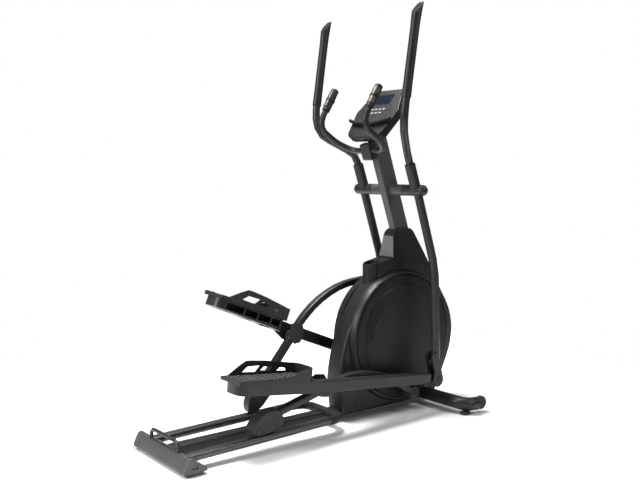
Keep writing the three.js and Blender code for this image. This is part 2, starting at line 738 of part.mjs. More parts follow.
function buildPulley() {
  return turned([
    [CRANK_AXLE_RADIUS + GAP, 29], [34, 29], [34, 33], [PULLEY_RADIUS - 12, 33], [PULLEY_RADIUS - 12, BELT_FROM],
    [PULLEY_RADIUS, BELT_FROM], [PULLEY_RADIUS, BELT_TO], [CRANK_AXLE_RADIUS + GAP, BELT_TO],
  ], 0, 0, 24);
}

function buildFlywheel() {
  const [back, front] = [-44, -20];
  return turned([
    [0, back + 6], [FLYWHEEL_RADIUS - 32, back + 6], [FLYWHEEL_RADIUS - 32, back],
    [FLYWHEEL_RADIUS, back], [FLYWHEEL_RADIUS, front], [10, front], [10, BELT_FROM],
    [SMALL_PULLEY_RADIUS, BELT_FROM], [SMALL_PULLEY_RADIUS, BELT_TO], [0, BELT_TO],
  ], FLYWHEEL_X, FLYWHEEL_Z, 24);
}

function buildBrakeArm() {
  const shape = new THREE.Shape();
  const [from, to] = [THREE.MathUtils.degToRad(-25), THREE.MathUtils.degToRad(107)];
  shape.absarc(FLYWHEEL_X, FLYWHEEL_Z, FLYWHEEL_RADIUS + 12, from, to);
  shape.absarc(FLYWHEEL_X, FLYWHEEL_Z, FLYWHEEL_RADIUS + 4, to, from, true);
  shape.closePath();
  const [x, z] = BRAKE_PIVOT;
  const arm = join(plate(shape, -43, -22, { arcs: 8 }), rod(12, -43, -22, x, z, 14));
  return cut(arm, rod(5 + RUNNING_GAP, -60, 0, x, z, 16));
}

add(crankGroup, 'crank_axle', rod(CRANK_AXLE_RADIUS, -69.6, 69.6), bareSteel());
add(crankGroup, 'crank_disc_right', sided(buildDisc(-1), 'right'), shellPlastic());
add(crankGroup, 'crank_disc_left', buildDisc(1), shellPlastic());
add(crankGroup, 'drive_pulley', buildPulley(), shellPlastic());
add(machine, 'drive_belt', buildBelt(), rubber());
add(machine, 'flywheel', buildFlywheel(), bareSteel());
add(machine, 'brake_arm', buildBrakeArm(), bareSteel());
add(machine, 'brake_motor', block(56, POST_X - 30 - GAP, -16, 16, 462, 516), shellPlastic());

// ---------------------------------------------------------------- swing arms
const HUB_RADIUS = 24;
const SOCKET_RADIUS = 22.5;
const SOCKET_TOP = 114;
const HANDLE_RADIUS = 16.5;
const ELBOW = [58, -352]; // lower arm bend, in the arm's frame
const FORK_HALF = 19.5; // half width of the arm joint's fork across Y
const TONGUE_HALF = 9.5;
const lowerLean = Math.atan2(ELBOW[0], ARM_LENGTH + ELBOW[1]);

// Places a piece made about the origin at the arm joint, in line with the lowest run of the arm.
function toJointFrame(geometry) {
  return geometry.rotateY(-lowerLean).translate(0, 0, -ARM_LENGTH);
}

function buildSwingArm() {
  const hub = turned([
    [AXLE_RADIUS + RUNNING_GAP, CROSS_TUBE_END + 0.6], [HUB_RADIUS, CROSS_TUBE_END + 0.6], [HUB_RADIUS, 200],
    [22.5, 209], [17, 216.5], [9, 221], [0, 222], [0, AXLE_END + RUNNING_GAP],
    [AXLE_RADIUS + RUNNING_GAP, AXLE_END + RUNNING_GAP],
  ], 0, 0, 20);
  const socketPath = smoothPath([[0, ARM_Y - 6, 0], [-21, ARM_Y - 6, SOCKET_TOP]]);
  const socket = tube(socketPath, circle(SOCKET_RADIUS), 1, 8);
  const borePath = smoothPath([[-6.8, ARM_Y - 6, 39], [-22.8, ARM_Y - 6, 126.2]]);
  const socketBore = tube(borePath, circle(HANDLE_RADIUS + 0.7), 1, 6);
  const [ex, ez] = ELBOW;
  const start = [3, ARM_Y, -14];
  const end = new THREE.Vector3(Math.sin(lowerLean) * 76, ARM_Y, -ARM_LENGTH + Math.cos(lowerLean) * 76);
  const lowerPath = roundedPath([start, [ex, ARM_Y, ez], [end.x, end.y, end.z]], [70]);
  const lower = tube(lowerPath, ellipse(15.5, 20), 10, 6);
  const bridge = toJointFrame(block(-16, 16, ARM_Y - FORK_HALF, ARM_Y + FORK_HALF, 64, 84));
  const cheekOutline = polygon([[-16, 70], [-16, 0], [16, 0], [16, 70]]);
  const cheeks = [-1, 1].map((way) => {
    const from = ARM_Y + (way > 0 ? TONGUE_HALF + 0.8 : -FORK_HALF);
    const to = ARM_Y + (way > 0 ? FORK_HALF : -TONGUE_HALF - 0.8);
    return toJointFrame(join(plate(cheekOutline, from, to), rod(16, from, to, 0, 0, 14)));
  });
  const pin = rod(PIN_RADIUS, ARM_Y - FORK_HALF + 1, ARM_Y + FORK_HALF - 1, 0, -ARM_LENGTH, 12);
  const axleRoom = rod(AXLE_RADIUS + RUNNING_GAP, 80, AXLE_END + RUNNING_GAP, 0, 0, 20);
  return cut(join(hub, socket, lower, bridge, ...cheeks, pin), axleRoom, socketBore);
}

function buildJointBoot() {
  const [outerHalf, innerHalf] = [FORK_HALF + 4, FORK_HALF + GAP];
  const outline = (half, bulb, behind) => {
    const shape = new THREE.Shape();
    shape.moveTo(-half + 2, 116);
    shape.lineTo(-half, 36);
    shape.absarc(-behind, -behind / 4, bulb, Math.PI * 0.86, Math.PI * 2.02);
    shape.lineTo(half - 2, 116);
    shape.closePath();
    return shape;
  };
  const outer = plate(outline(22, 32, 10), ARM_Y - outerHalf, ARM_Y + outerHalf, {
    bevel: 3, bevelSteps: 1, arcs: 8,
  });
  const room = plate(outline(18.5, 18.5, 0), ARM_Y - innerHalf, ARM_Y + innerHalf, { arcs: 5 });
  const opening = block(-52, 4, ARM_Y - innerHalf, ARM_Y + innerHalf, -52, 126);
  const top = block(-24, 30, ARM_Y - innerHalf, ARM_Y + innerHalf, 66, 130);
  return toJointFrame(cut(outer, room, opening, top));
}

// The upper handle sweeps back and outwards past the user's hands, then rises straight.
function upperPath() {
  return roundedPath([
    [-7, ARM_Y - 6, 40],
    [-29, ARM_Y - 6, 160],
    [-136, 268, 266],
    [-134, 283, 345],
    [-24, 285, 690],
  ], [32, 40, 34]);
}

const GRIP_START = [-119, 283.3, 392];
const GRIP_END = [-10, 285.2, 733];
const GRIP_SLANT = THREE.MathUtils.degToRad(38); // the flared top is cut off, higher at the front

function buildUpperHandle() {
  return tube(upperPath(), circle(HANDLE_RADIUS), 18, 6);
}

function buildHandleGrip() {
  const start = new THREE.Vector3(...GRIP_START);
  const end = new THREE.Vector3(...GRIP_END);
  const axis = end.clone().sub(start);
  const length = axis.length();
  const turn = new THREE.Quaternion().setFromUnitVectors(new THREE.Vector3(0, 1, 0), axis.normalize());
  const bore = HANDLE_RADIUS + 0.7;
  const sleeve = turned([
    [bore, 0], [18.6, 0], [19.4, 4], [18.6, 60], [18.6, length - 80], [20, length - 30], [23.5, length + 24],
    [0, length + 24], [0, length - 34], [bore, length - 34],
  ], 0, 0, 14).applyQuaternion(turn).translate(start.x, start.y, start.z);
  const aboveSlant = block(-120, 120, -60, 60, -2, 160).rotateY(-GRIP_SLANT).translate(...GRIP_END);
  return cut(sleeve, aboveSlant);
}

for (const side of ['right', 'left']) {
  const group = pivotGroup(AXLE_X, AXLE_Z, -linkage[side].armAngle);
  add(group, `swing_arm_${side}`, sided(buildSwingArm(), side), framePaint());
  add(group, `joint_boot_${side}`, sided(buildJointBoot(), side), shellPlastic());
  add(group, `upper_handle_${side}`, sided(buildUpperHandle(), side), framePaint());
  add(group, `handle_grip_${side}`, sided(buildHandleGrip(), side), softGrip());
}

// ---------------------------------------------------------------- pedal beams and pedals
const TRAY_REAR = -1032;
const TRAY_FRONT = -700;
const TRAY_INNER = 78;
const TRAY_OUTER = ARM_Y + BEAM_HALF;
const TRAY_TOP = 24;
const PEDAL = { rear: -1036, front: -688, inner: 55, outer: 195, floor: 36 };
const RIM_FRONT = 74; // height of the tub's front rim

function buildPedalBeam() {
  const inner = ARM_Y - BEAM_HALF;
  const middle = bar(roundedRect(2 * BEAM_HALF, 2 * TRAY_TOP, 7, ARM_Y, 0), TRAY_FRONT - 40, -54, { arcs: 2 });
  const tongue = join(
    bar(roundedRect(2 * TONGUE_HALF, 28, 4, ARM_Y, 0), -90, 0, { arcs: 1 }),
    rod(15, ARM_Y - TONGUE_HALF, ARM_Y + TONGUE_HALF, 0, 0, 16),
  );
  const frame = new THREE.Shape();
  frame.moveTo(TRAY_FRONT + 40, inner);
  frame.lineTo(TRAY_FRONT, TRAY_INNER + 10);
  frame.quadraticCurveTo(TRAY_FRONT - 14, TRAY_INNER, TRAY_FRONT - 34, TRAY_INNER);
  frame.lineTo(TRAY_REAR + 40, TRAY_INNER);
  frame.quadraticCurveTo(TRAY_REAR, TRAY_INNER, TRAY_REAR, TRAY_INNER + 40);
  frame.lineTo(TRAY_REAR, TRAY_OUTER - 40);
  frame.quadraticCurveTo(TRAY_REAR, TRAY_OUTER, TRAY_REAR + 40, TRAY_OUTER);
  frame.lineTo(TRAY_FRONT + 40, TRAY_OUTER);
  frame.closePath();
  const tray = cut(
    slab(frame, -TRAY_TOP, TRAY_TOP, { arcs: 5 }),
    plate(polygon([
      [TRAY_REAR - 5, -TRAY_TOP - 1], [TRAY_REAR - 5, -14], [TRAY_FRONT - 60, -21], [TRAY_FRONT + 40, -TRAY_TOP - 1],
    ]), 60, 220),
  );
  const openings = [[-1004, -920], [-896, -812], [-788, -722]].map(([from, to]) => (
    block(from, to, TRAY_INNER + 28, TRAY_OUTER - 28, -40, 60)
  ));
  const pockets = [[-990, -906], [-898, -838], [-830, -770], [-762, -722]].map(([from, to]) => (
    block(from, to, TRAY_INNER - 1, TRAY_INNER + 22, -9, 17)
  ));
  const pivot = rod(PIN_RADIUS, LINK_Y - LINK_HALF - 7, inner + 4, -BEAM_LENGTH, -BEAM_DROP, 12);
  const keeperEnd = LINK_Y - LINK_HALF - 3;
  const keeper = plate(polygon([
    [-BEAM_LENGTH - 40, 20], [-BEAM_LENGTH - 26, -36], [-BEAM_LENGTH + 8, -54], [-BEAM_LENGTH + 34, -40],
    [-BEAM_LENGTH + 40, 8], [-BEAM_LENGTH + 22, 30], [-BEAM_LENGTH - 22, 32],
  ]), keeperEnd - 4.5, keeperEnd);
  const bracket = plate(polygon([
    [-BEAM_LENGTH - 90, -22], [-BEAM_LENGTH - 26, -48], [-BEAM_LENGTH + 8, -50], [-BEAM_LENGTH + 32, -22],
  ]), inner, inner + 7);
  const eye = rod(PIN_RADIUS + RUNNING_GAP, 140, 200, 0, 0, 12);
  return join(cut(join(middle, tongue, tray, bracket), ...openings, ...pockets, eye), pivot, keeper);
}

function buildPedal() {
  const { rear, front, inner, outer, floor } = PEDAL;
  const plan = new THREE.Shape();
  plan.moveTo(rear, inner + 4);
  plan.lineTo(rear + 6, inner);
  plan.lineTo(front - 40, inner);
  plan.quadraticCurveTo(front, inner, front, inner + 44);
  plan.lineTo(front, outer - 52);
  plan.quadraticCurveTo(front, outer, front - 60, outer);
  plan.lineTo(rear + 6, outer);
  plan.lineTo(rear, outer - 4);
  plan.closePath();
  const tub = cut(
    slab(plan, TRAY_TOP + GAP, 100, { arcs: 5 }),
    slab(plan, floor, 110, { inset: 5, arcs: 5 }),
  );
  const middle = (inner + outer) / 2;
  const aboveWing = plate(polygon([
    [rear - 10, floor], [-1004, floor + 1], [-960, 68], [-928, 88], [-906, 89], [-840, 86], [-765, 79],
    [-722, RIM_FRONT], [front + 10, RIM_FRONT], [front + 10, 150], [rear - 10, 150],
  ]), inner - 10, middle);
  const aboveRim = plate(polygon([
    [rear - 10, floor], [-1026, floor + 6], [-856, floor + 8], [-807, 50], [-775, 60], [-750, 70],
    [-732, RIM_FRONT], [front + 10, RIM_FRONT], [front + 10, 150], [rear - 10, 150],
  ]), middle, outer + 10);
  const windows = [
    [[-944, 45], [-920, 66], [-862, 68], [-882, 44]],
    [[-862, 49], [-845, 63], [-803, 60], [-822, 47]],
    [[-784, 44], [-771, 57], [-742, 54], [-738, 43]],
  ].map((corners) => plate(polygon(corners), inner - 10, inner + 20));
  return cut(tub, aboveWing, aboveRim, ...windows);
}

for (const side of ['right', 'left']) {
  const { joint, beamAngle } = linkage[side];
  const group = pivotGroup(joint[0], joint[1], beamAngle);
  add(group, `pedal_beam_${side}`, sided(buildPedalBeam(), side), framePaint());
  add(group, `pedal_${side}`, sided(buildPedal(), side), treadPlastic());
}

// ---------------------------------------------------------------- roller links
const LINK_INNER = LINK_Y - LINK_HALF;
const LINK_OUTER = LINK_Y + LINK_HALF;
const FORK_PLATE = 5.5;
const ROLLER_AXLE_RADIUS = 6;

function linkPath() {
  return smoothPath([
    [58, LINK_Y, 38], [106, LINK_Y, 50], [200, LINK_Y, 72], [CLAMP_ALONG, LINK_Y, CLAMP_UP], [368, LINK_Y, 116],
    [442, LINK_Y, 127], [513, LINK_Y, 126], [580, LINK_Y, 115], [645, LINK_Y, 95], [713, LINK_Y, 60],
    [762, LINK_Y, 30], [LINK_LENGTH - 10, LINK_Y, 6],
  ]);
}

function buildLink() {
  const arch = tube(linkPath(), roundedRect(2 * LINK_HALF, 30, 9), 15, 1);
  const bridge = block(36, 84, LINK_INNER, LINK_OUTER, -8, 34);
  const forks = [LINK_INNER, LINK_OUTER - FORK_PLATE].map((from) => join(
    plate(polygon([[0, -15], [60, -8], [60, 30], [20, 22], [0, 15]]), from, from + FORK_PLATE),
    rod(15, from, from + FORK_PLATE, 0, 0, 12),
  ));
  const axle = rod(ROLLER_AXLE_RADIUS, LINK_INNER + 1, LINK_OUTER - 1, 0, 0, 12);
  const clampBoss = rod(24, LINK_INNER - 0.5, LINK_OUTER + 0.5, CLAMP_ALONG, CLAMP_UP, 16);
  const pinBoss = rod(26, PIN_BOSS_INNER, LINK_OUTER, LINK_LENGTH, 0, 18);
  const body = join(arch, bridge, ...forks, axle, clampBoss, pinBoss);
  return cut(body, rod(PIN_RADIUS + RUNNING_GAP, 90, 170, CLAMP_ALONG, CLAMP_UP, 12));
}

function buildRoller() {
  const half = 10;
  const bore = ROLLER_AXLE_RADIUS + RUNNING_GAP;
  const rim = ROLLER_RADIUS;
  return turned([
    [bore, LINK_Y - half], [rim - 2, LINK_Y - half], [rim, LINK_Y - half + 2], [rim, LINK_Y + half - 2],
    [rim - 2, LINK_Y + half], [bore, LINK_Y + half],
  ], 0, 0, 20);
}

function buildRollerCover() {
  const outline = new THREE.Shape();
  outline.moveTo(-8, -21);
  outline.quadraticCurveTo(-34, -14, -34, 6);
  outline.quadraticCurveTo(-30, 40, 20, 58);
  outline.quadraticCurveTo(54, 68, 88, 66);
  outline.quadraticCurveTo(112, 44, 116, 14);
  outline.quadraticCurveTo(110, -4, 84, -12);
  outline.lineTo(30, -21);
  outline.closePath();
  const wall = 5;
  const outer = plate(outline, LINK_INNER - wall, LINK_OUTER + wall, { bevel: 4, bevelSteps: 1, arcs: 4 });
  const room = plate(outline, LINK_INNER - GAP - 0.2, LINK_OUTER + GAP + 0.2, { inset: 4, arcs: 3 });
  const below = block(-26, 90, LINK_INNER - GAP - 0.2, LINK_OUTER + GAP + 0.2, -40, 0);
  const ahead = block(76, 140, LINK_INNER - GAP - 0.2, LINK_OUTER + GAP + 0.2, -30, 90);
  return cut(outer, room, below, ahead);
}

for (const side of ['right', 'left']) {
  const { roller, linkAngle } = linkage[side];
  const group = pivotGroup(roller[0], roller[1], -linkAngle);
  add(group, `roller_link_${side}`, sided(buildLink(), side), framePaint());
  add(group, `roller_cover_${side}`, sided(buildRollerCover(), side), shellPlastic());
  add(group, `roller_${side}`, sided(buildRoller(), side), rubber());
}

export default machine;
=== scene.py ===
"""Looks, light and camera for the elliptical trainer. Metres, +X forward, +Y the user's left, +Z up."""

import json
import math

import bmesh
import bpy
from mathutils import Matrix, Vector


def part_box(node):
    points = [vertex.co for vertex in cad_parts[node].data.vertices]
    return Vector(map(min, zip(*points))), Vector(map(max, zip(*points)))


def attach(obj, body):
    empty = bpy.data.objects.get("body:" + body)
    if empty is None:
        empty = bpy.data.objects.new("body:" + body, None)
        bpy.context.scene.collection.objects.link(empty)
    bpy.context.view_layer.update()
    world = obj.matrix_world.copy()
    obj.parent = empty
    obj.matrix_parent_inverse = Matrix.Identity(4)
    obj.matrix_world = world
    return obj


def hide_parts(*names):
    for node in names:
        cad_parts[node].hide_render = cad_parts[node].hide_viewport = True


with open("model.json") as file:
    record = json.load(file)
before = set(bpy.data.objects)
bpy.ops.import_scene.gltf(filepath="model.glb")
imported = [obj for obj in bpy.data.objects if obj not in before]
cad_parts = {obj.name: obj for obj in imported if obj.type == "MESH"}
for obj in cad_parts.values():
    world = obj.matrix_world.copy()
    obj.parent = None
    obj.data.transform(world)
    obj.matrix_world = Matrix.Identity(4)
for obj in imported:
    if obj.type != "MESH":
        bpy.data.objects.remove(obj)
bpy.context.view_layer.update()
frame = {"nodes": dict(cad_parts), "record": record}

RECORD = frame["record"]
BODY_OF = {node: body for body, nodes in RECORD["behaviour"]["bodies"].items() for node in nodes}
JOINTS = {joint["name"]: joint for joint in RECORD["behaviour"]["joints"]}
PIVOT = {name: Vector(joint["pos_m"]) for name, joint in JOINTS.items() if "pos_m" in joint}
SIDES = {"right": -1, "left": 1}
ALONG_Y = Vector((0, 1, 0))


# ---------------------------------------------------------------- camera and light
CAMERA_PLACE = Vector((-2.0613, -2.626, 1.0615))
CAMERA_YAW = math.radians(51.86)  # from +X towards +Y
CAMERA_PITCH = math.radians(-5.03)
CAMERA_LENS = 46.15


def add_camera():
    data = bpy.data.cameras.new("camera")
    data.lens = CAMERA_LENS
    data.sensor_width = 36
    camera = bpy.data.objects.new("camera", data)
    bpy.context.scene.collection.objects.link(camera)
    level = math.cos(CAMERA_PITCH)
    heading = Vector((math.cos(CAMERA_YAW) * level, math.sin(CAMERA_YAW) * level, math.sin(CAMERA_PITCH)))
    camera.location = CAMERA_PLACE
    camera.rotation_euler = heading.to_track_quat("-Z", "Y").to_euler()
    bpy.context.scene.camera = camera


ROOM_GLOW = 0.2  # what the white room adds to the panels' light


def add_panel_light(name, place, target, size, power):
    data = bpy.data.lights.new(name, "AREA")
    data.shape = "RECTANGLE"
    data.size, data.size_y = size
    data.energy = power
    light = bpy.data.objects.new(name, data)
    bpy.context.scene.collection.objects.link(light)
    light.location = place
    light.rotation_euler = (Vector(target) - Vector(place)).to_track_quat("-Z", "Y").to_euler()


def add_studio():
    world = bpy.data.worlds.new("studio")
    bpy.context.scene.world = world
    world.use_nodes = True
    nodes, links = world.node_tree.nodes, world.node_tree.links
    background = nodes["Background"]
    background.inputs["Color"].default_value = (1, 1, 1, 1)
    ray = nodes.new("ShaderNodeLightPath")
    strength = nodes.new("ShaderNodeMapRange")
    strength.inputs["To Min"].default_value = ROOM_GLOW
    strength.inputs["To Max"].default_value = 1.0
    links.new(ray.outputs["Is Camera Ray"], strength.inputs["Value"])
    links.new(strength.outputs["Result"], background.inputs["Strength"])
    middle = (0, 0, 0.7)
    add_panel_light("panel_rear", (-4.4, 0.9, 2.4), middle, (1.6, 2.6), 190)
    add_panel_light("panel_top", (-0.3, 0.9, 4.2), middle, (2.2, 1.2), 330)
    add_panel_light("panel_side", (1.2, -2.4, 3.0), (0.1, 0, 1.1), (0.8, 1.6), 45)
    bpy.context.scene.view_settings.view_transform = "Standard"
    bpy.context.scene.view_settings.look = "None"


PAPER_GLOW_STARTS = 0.8  # metres from the middle of the floor
PAPER_GLOW_FULL = 1.8
PAPER_GLOW = 0.6
FLOOR_HALF = 1.9
FLOOR_DROP = 0.0005  # keeps the paper just clear of the feet


def floor_paper():
    """Pale paper with painted light: it glows more away from the machine, to look like a lit sweep."""
    material = finish("floor_paper", (0.86, 0.86, 0.86), (0.9, 0.9, 0.9), 0.7, 0.8)
    nodes, links = material.node_tree.nodes, material.node_tree.links
    place = nodes.new("ShaderNodeTexCoord")
    distance = nodes.new("ShaderNodeVectorMath")
    distance.operation = "LENGTH"
    links.new(place.outputs["Object"], distance.inputs[0])
    glow = nodes.new("ShaderNodeMapRange")
    glow.inputs["From Min"].default_value = PAPER_GLOW_STARTS
    glow.inputs["From Max"].default_value = PAPER_GLOW_FULL
    glow.inputs["To Min"].default_value = 0.0
    glow.inputs["To Max"].default_value = PAPER_GLOW
    links.new(distance.outputs["Value"], glow.inputs["Value"])
    shader = nodes["Principled BSDF"]
    shader.inputs["Emission Color"].default_value = (1, 1, 1, 1)
    links.new(glow.outputs["Result"], shader.inputs["Emission Strength"])
    return material


def add_floor():
    mesh = bpy.data.meshes.new("studio_floor")
    plan = bmesh.new()
    bmesh.ops.create_grid(plan, x_segments=1, y_segments=1, size=FLOOR_HALF)
    plan.to_mesh(mesh)
    plan.free()
    floor = bpy.data.objects.new("studio_floor", mesh)
    bpy.context.scene.collection.objects.link(floor)
    floor.location.z = -FLOOR_DROP
    floor.data.materials.append(floor_paper())


# ---------------------------------------------------------------- materials
PATCH_SPREAD = (0.25, 0.75)  # noise values at which a finish is fully dark and fully light
GLOSS_SPREAD = (0.3, 0.7)  # noise values at which it is smoothest and roughest


def finish(name, dark, light, smooth, rough, metal=0.0, patch=7.0, grain=900.0, bump=0.12, depth=0.0004,
           stretch=(1, 1, 1), gleam=0.4):
    """A node material in the object's own space: slow colour patches, uneven gloss and a fine grain."""
    material = bpy.data.materials.new(name)
    material.use_nodes = True
    nodes, links = material.node_tree.nodes, material.node_tree.links
    shader = nodes["Principled BSDF"]
    shader.inputs["Metallic"].default_value = metal
    shader.inputs["Specular IOR Level"].default_value = gleam
    place = nodes.new("ShaderNodeTexCoord")
    scaled = nodes.new("ShaderNodeMapping")
    scaled.inputs["Scale"].default_value = stretch
    links.new(place.outputs["Object"], scaled.inputs["Vector"])

    def cloud(scale, detail):
        node = nodes.new("ShaderNodeTexNoise")
        node.inputs["Scale"].default_value = scale
        node.inputs["Detail"].default_value = detail
        links.new(scaled.outputs["Vector"], node.inputs["Vector"])
        return node.outputs["Fac"]

    ramp = nodes.new("ShaderNodeValToRGB")
    for stop, position, colour in zip(ramp.color_ramp.elements, PATCH_SPREAD, (dark, light)):
        stop.position = position
        stop.color = (*colour, 1)
    links.new(cloud(patch, 4), ramp.inputs["Fac"])
    links.new(ramp.outputs["Color"], shader.inputs["Base Color"])
    gloss = nodes.new("ShaderNodeMapRange")
    gloss.inputs["From Min"].default_value = GLOSS_SPREAD[0]
    gloss.inputs["From Max"].default_value = GLOSS_SPREAD[1]
    gloss.inputs["To Min"].default_value = smooth
    gloss.inputs["To Max"].default_value = rough
    links.new(cloud(patch * 5, 3), gloss.inputs["Value"])
    links.new(gloss.outputs["Result"], shader.inputs["Roughness"])
    relief = nodes.new("ShaderNodeBump")
    relief.inputs["Strength"].default_value = bump
    relief.inputs["Distance"].default_value = depth
    links.new(cloud(grain, 2), relief.inputs["Height"])
    links.new(relief.outputs["Normal"], shader.inputs["Normal"])
    return material


def make_looks():
    return {
        "frame": finish("frame_powder", (0.017, 0.017, 0.0175), (0.025, 0.025, 0.0255), 0.32, 0.42,
                        metal=0.1, grain=1300, bump=0.08, gleam=0.32),
        # The mast is a lighter, glossier copy of the frame powder: painted light for the light its sides
        # catch.
        "mast": finish("mast_powder_painted_light", (0.036, 0.036, 0.037), (0.05, 0.05, 0.051), 0.42, 0.52,
                       metal=0.1, grain=1300, bump=0.08, gleam=0.5),
        "rail": finish("rail_steel", (0.07, 0.07, 0.0715), (0.105, 0.105, 0.107), 0.26, 0.38,
                       metal=0.75, patch=16, grain=700, bump=0.1, stretch=(0.05, 1, 1)),
        "foot": finish("foot_powder", (0.06, 0.06, 0.061), (0.08, 0.08, 0.081), 0.36, 0.48,
                       metal=0.35, grain=1200, bump=0.08),
        "shell": finish("housing_plastic", (0.009, 0.0088, 0.0085), (0.014, 0.0135, 0.013), 0.34, 0.44,
                        grain=1600, bump=0.16, gleam=0.28),
        "disc": finish("disc_plastic", (0.0065, 0.0065, 0.0065), (0.01, 0.01, 0.01), 0.36, 0.46,
                       grain=1600, bump=0.14, gleam=0.18),
        "cap": finish("cap_plastic", (0.013, 0.013, 0.013), (0.021, 0.021, 0.021), 0.36, 0.5, grain=1500,
                      bump=0.16, gleam=0.3),
        "panel": finish("panel_plastic", (0.09, 0.09, 0.09), (0.115, 0.115, 0.115), 0.42, 0.55,
                        grain=1500, bump=0.14),
        "grip": finish("grip_foam", (0.009, 0.009, 0.009), (0.014, 0.014, 0.014), 0.38, 0.5,
                       patch=12, grain=2200, bump=0.1, depth=0.0003, gleam=0.3),
        "tread": finish("tread_rubber", (0.075, 0.066, 0.057), (0.12, 0.107, 0.094), 0.6, 0.8,
                        patch=40, grain=1000, bump=0.35),
        "steel": finish("plate_steel", (0.09, 0.081, 0.072), (0.15, 0.135, 0.12), 0.36, 0.48,
                        metal=0.9, patch=30, grain=900, bump=0.06, stretch=(1, 1, 0.06)),
        "bolt": finish("bolt_steel", (0.05, 0.05, 0.05), (0.09, 0.09, 0.09), 0.3, 0.45,
                       metal=0.9, patch=60, grain=1500, bump=0.08),
        "rubber": finish("rubber", (0.012, 0.012, 0.012), (0.024, 0.023, 0.022), 0.6, 0.82,
                         patch=30, grain=1200, bump=0.35),
        "key": finish("key_silver", (0.16, 0.155, 0.148), (0.23, 0.223, 0.213), 0.4, 0.5, metal=0.3,
                      patch=80, grain=2500, bump=0.08),
        "screen": finish("screen_glass", (0.004, 0.005, 0.013), (0.007, 0.009, 0.022), 0.12, 0.2,
                         patch=30, grain=500, bump=0.01, gleam=0.3),
        # Near-black with painted shade: it goes on hollows, grooves, screw holes and inner parts where shade
        # falls, and on the screen bezel.
        "black_and_painted_shade": finish("shadow_gap", (0.004, 0.004, 0.004), (0.007, 0.007, 0.007), 0.7, 0.85, grain=1500,
                      gleam=0.1),
    }


# ---------------------------------------------------------------- pieces
def place_piece(name, mesh, body, look):
    piece = bpy.data.objects.new(name, mesh)
    bpy.context.scene.collection.objects.link(piece)
    mesh.materials.clear()
    mesh.materials.append(LOOKS[look])
    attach(piece, body)
    return piece


def refine(node, look, rounding=0.0012, crease=38):
    """Stands in for a CAD node with the same shape, smooth where it is round and with softened edges."""
    mesh = frame["nodes"][node].data.copy()
    work = bmesh.new()
    work.from_mesh(mesh)
    bmesh.ops.remove_doubles(work, verts=work.verts, dist=2e-6)
    bmesh.ops.dissolve_limit(work, angle_limit=math.radians(0.7), verts=work.verts, edges=work.edges)
    for face in work.faces:
        face.smooth = True
    for edge in work.edges:
        edge.smooth = edge.is_manifold and edge.calc_face_angle(0) < math.radians(crease)
    work.to_mesh(mesh)
    work.free()
    piece = place_piece(f"{node}_look", mesh, BODY_OF[node], look)
    bevel = piece.modifiers.new("softened_edges", "BEVEL")
    bevel.limit_method = "ANGLE"
    bevel.angle_limit = math.radians(crease)
    bevel.width = rounding
    bevel.segments = 3
    bevel.harden_normals = True
    fair = piece.modifiers.new("even_shading", "WEIGHTED_NORMAL")
    fair.keep_sharp = True
    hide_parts(node)
    return piece


def lathe(name, profile, centre, axis, body, look, sides=36):
    """A turned piece: profile is (radius, height along axis) pairs, from the axis back to the axis."""
    turn = axis.normalized().to_track_quat("Z", "Y").to_matrix().to_4x4()
    work = bmesh.new()
    rings = []
    for radius, height in profile:
        if radius == 0:
            rings.append([work.verts.new((0, 0, height))])
            continue
        angles = [2 * math.pi * i / sides for i in range(sides)]
        rings.append([work.verts.new((radius * math.cos(a), radius * math.sin(a), height)) for a in angles])
    for low, high in zip(rings, rings[1:]):
        for i in range(sides):
            j = (i + 1) % sides
            corners = [low[i % len(low)], low[j % len(low)], high[j % len(high)], high[i % len(high)]]
            distinct = list(dict.fromkeys(corners))
            if len(distinct) > 2:
                work.faces.new(distinct)
    bmesh.ops.recalc_face_normals(work, faces=work.faces)
    bmesh.ops.transform(work, matrix=Matrix.Translation(centre) @ turn, verts=work.verts)
    for face in work.faces:
        face.smooth = True
    for edge in work.edges:
        edge.smooth = edge.calc_face_angle(0) < math.radians(35)
    mesh = bpy.data.meshes.new(name)
    work.to_mesh(mesh)
    work.free()
    return place_piece(name, mesh, body, look)


def bolt(name, centre, axis, radius, body, look="bolt"):
    """A low socket screw head, its recess a little darker by its own depth."""
    return lathe(name, [
        (0, -radius * 0.1), (radius * 0.48, -radius * 0.1), (radius * 0.55, radius * 0.42),
        (radius * 0.84, radius * 0.42), (radius, radius * 0.26), (radius, -radius * 0.3), (0, -radius * 0.3),
    ], centre, axis, body, look)


def strand(name, points, radius, body, look):
    """A thin round bead along points, such as a weld or a moulded rib."""
    curve = bpy.data.curves.new(name, "CURVE")
    curve.dimensions = "3D"
    curve.bevel_depth = radius
    curve.bevel_resolution = 3
    curve.use_fill_caps = True
    line = curve.splines.new("POLY")
    line.points.add(len(points) - 1)
    for point, place in zip(line.points, points):
        point.co = (*place, 1)
    piece = bpy.data.objects.new(name, curve)
    bpy.context.scene.collection.objects.link(piece)
    curve.materials.append(LOOKS[look])
    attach(piece, body)
    return piece


def arc_points(centre, radius, start, end, count=40):
    """Points of an arc in the X-Z plane; angles in degrees from +X towards +Z."""
    places = []
    for i in range(count + 1):
        angle = math.radians(start + (end - start) * i / count)
        places.append(centre + Vector((radius * math.cos(angle), 0, radius * math.sin(angle))))
    return places


